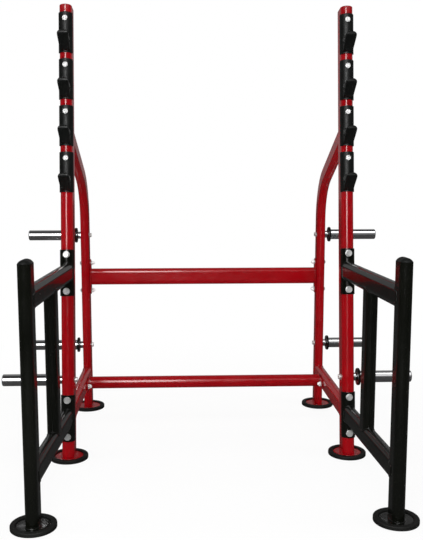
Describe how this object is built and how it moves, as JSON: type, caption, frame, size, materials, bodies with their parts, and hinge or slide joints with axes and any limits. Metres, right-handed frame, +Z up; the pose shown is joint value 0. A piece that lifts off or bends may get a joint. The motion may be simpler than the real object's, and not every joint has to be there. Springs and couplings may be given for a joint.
{
  "type": "power rack",
  "caption": "Open-front power rack: leaning uprights with bar hooks, side frames with safety rails, bent rear uprights, crossmembers and weight pegs.",
  "frame": {"origin": "on the floor, midway between the two sides and midway between the foremost and rearmost feet", "axes": "+X to the right as seen from the front, -Y out of the front, +Z up"},
  "size_m": [1.704, 1.4602, 1.8572],
  "materials": {
    "red_paint": "gloss",
    "black_paint": "gloss",
    "black_plastic": "matte, finely textured",
    "black_rubber": "matte",
    "chrome": "polished",
    "zinc": "bright zinc plate"
  },
  "bodies": {
    "root": {"main_upright_left": "red_paint", "rear_upright_left": "red_paint", "lower_side_rail_left": "red_paint", "front_post_left": "black_paint", "safety_rail_left": "black_paint", "lower_guard_rail_left": "black_paint", "guard_strut_left": "black_paint", "upper_saddle_plate_left": "black_paint", "lower_saddle_plate_left": "black_paint", "post_cap_left": "black_plastic", "bar_hook_left_1": "black_plastic", "bar_hook_left_2": "black_plastic", "bar_hook_left_3": "black_plastic", "bar_hook_left_4": "black_plastic", "weight_peg_main_left": "chrome", "weight_peg_rear_upper_left": "chrome", "weight_peg_rear_lower_left": "chrome", "foot_plate_main_left": "red_paint", "rubber_foot_main_left": "black_rubber", "foot_plate_rear_left": "red_paint", "rubber_foot_rear_left": "black_rubber", "foot_plate_front_left": "black_paint", "rubber_foot_front_left": "black_rubber", "main_upright_right": "red_paint", "rear_upright_right": "red_paint", "lower_side_rail_right": "red_paint", "front_post_right": "black_paint", "safety_rail_right": "black_paint", "lower_guard_rail_right": "black_paint", "guard_strut_right": "black_paint", "upper_saddle_plate_right": "black_paint", "lower_saddle_plate_right": "black_paint", "post_cap_right": "black_plastic", "bar_hook_right_1": "black_plastic", "bar_hook_right_2": "black_plastic", "bar_hook_right_3": "black_plastic", "bar_hook_right_4": "black_plastic", "weight_peg_main_right": "chrome", "weight_peg_rear_upper_right": "chrome", "weight_peg_rear_lower_right": "chrome", "foot_plate_main_right": "red_paint", "rubber_foot_main_right": "black_rubber", "foot_plate_rear_right": "red_paint", "rubber_foot_rear_right": "black_rubber", "foot_plate_front_right": "black_paint", "rubber_foot_front_right": "black_rubber", "rear_beam": "red_paint", "lower_crossbar": "red_paint", "beam_end_plates": "red_paint", "crossbar_end_plates": "red_paint", "peg_flanges": "black_paint", "peg_spacers": "chrome", "hook_bolts": "zinc", "side_frame_bolts": "zinc", "side_frame_nuts": "zinc", "side_frame_washers": "zinc", "crossmember_bolts": "zinc", "crossmember_nuts": "zinc", "peg_bolts": "zinc", "flat_washers": "zinc"}
  },
  "joints": []
}
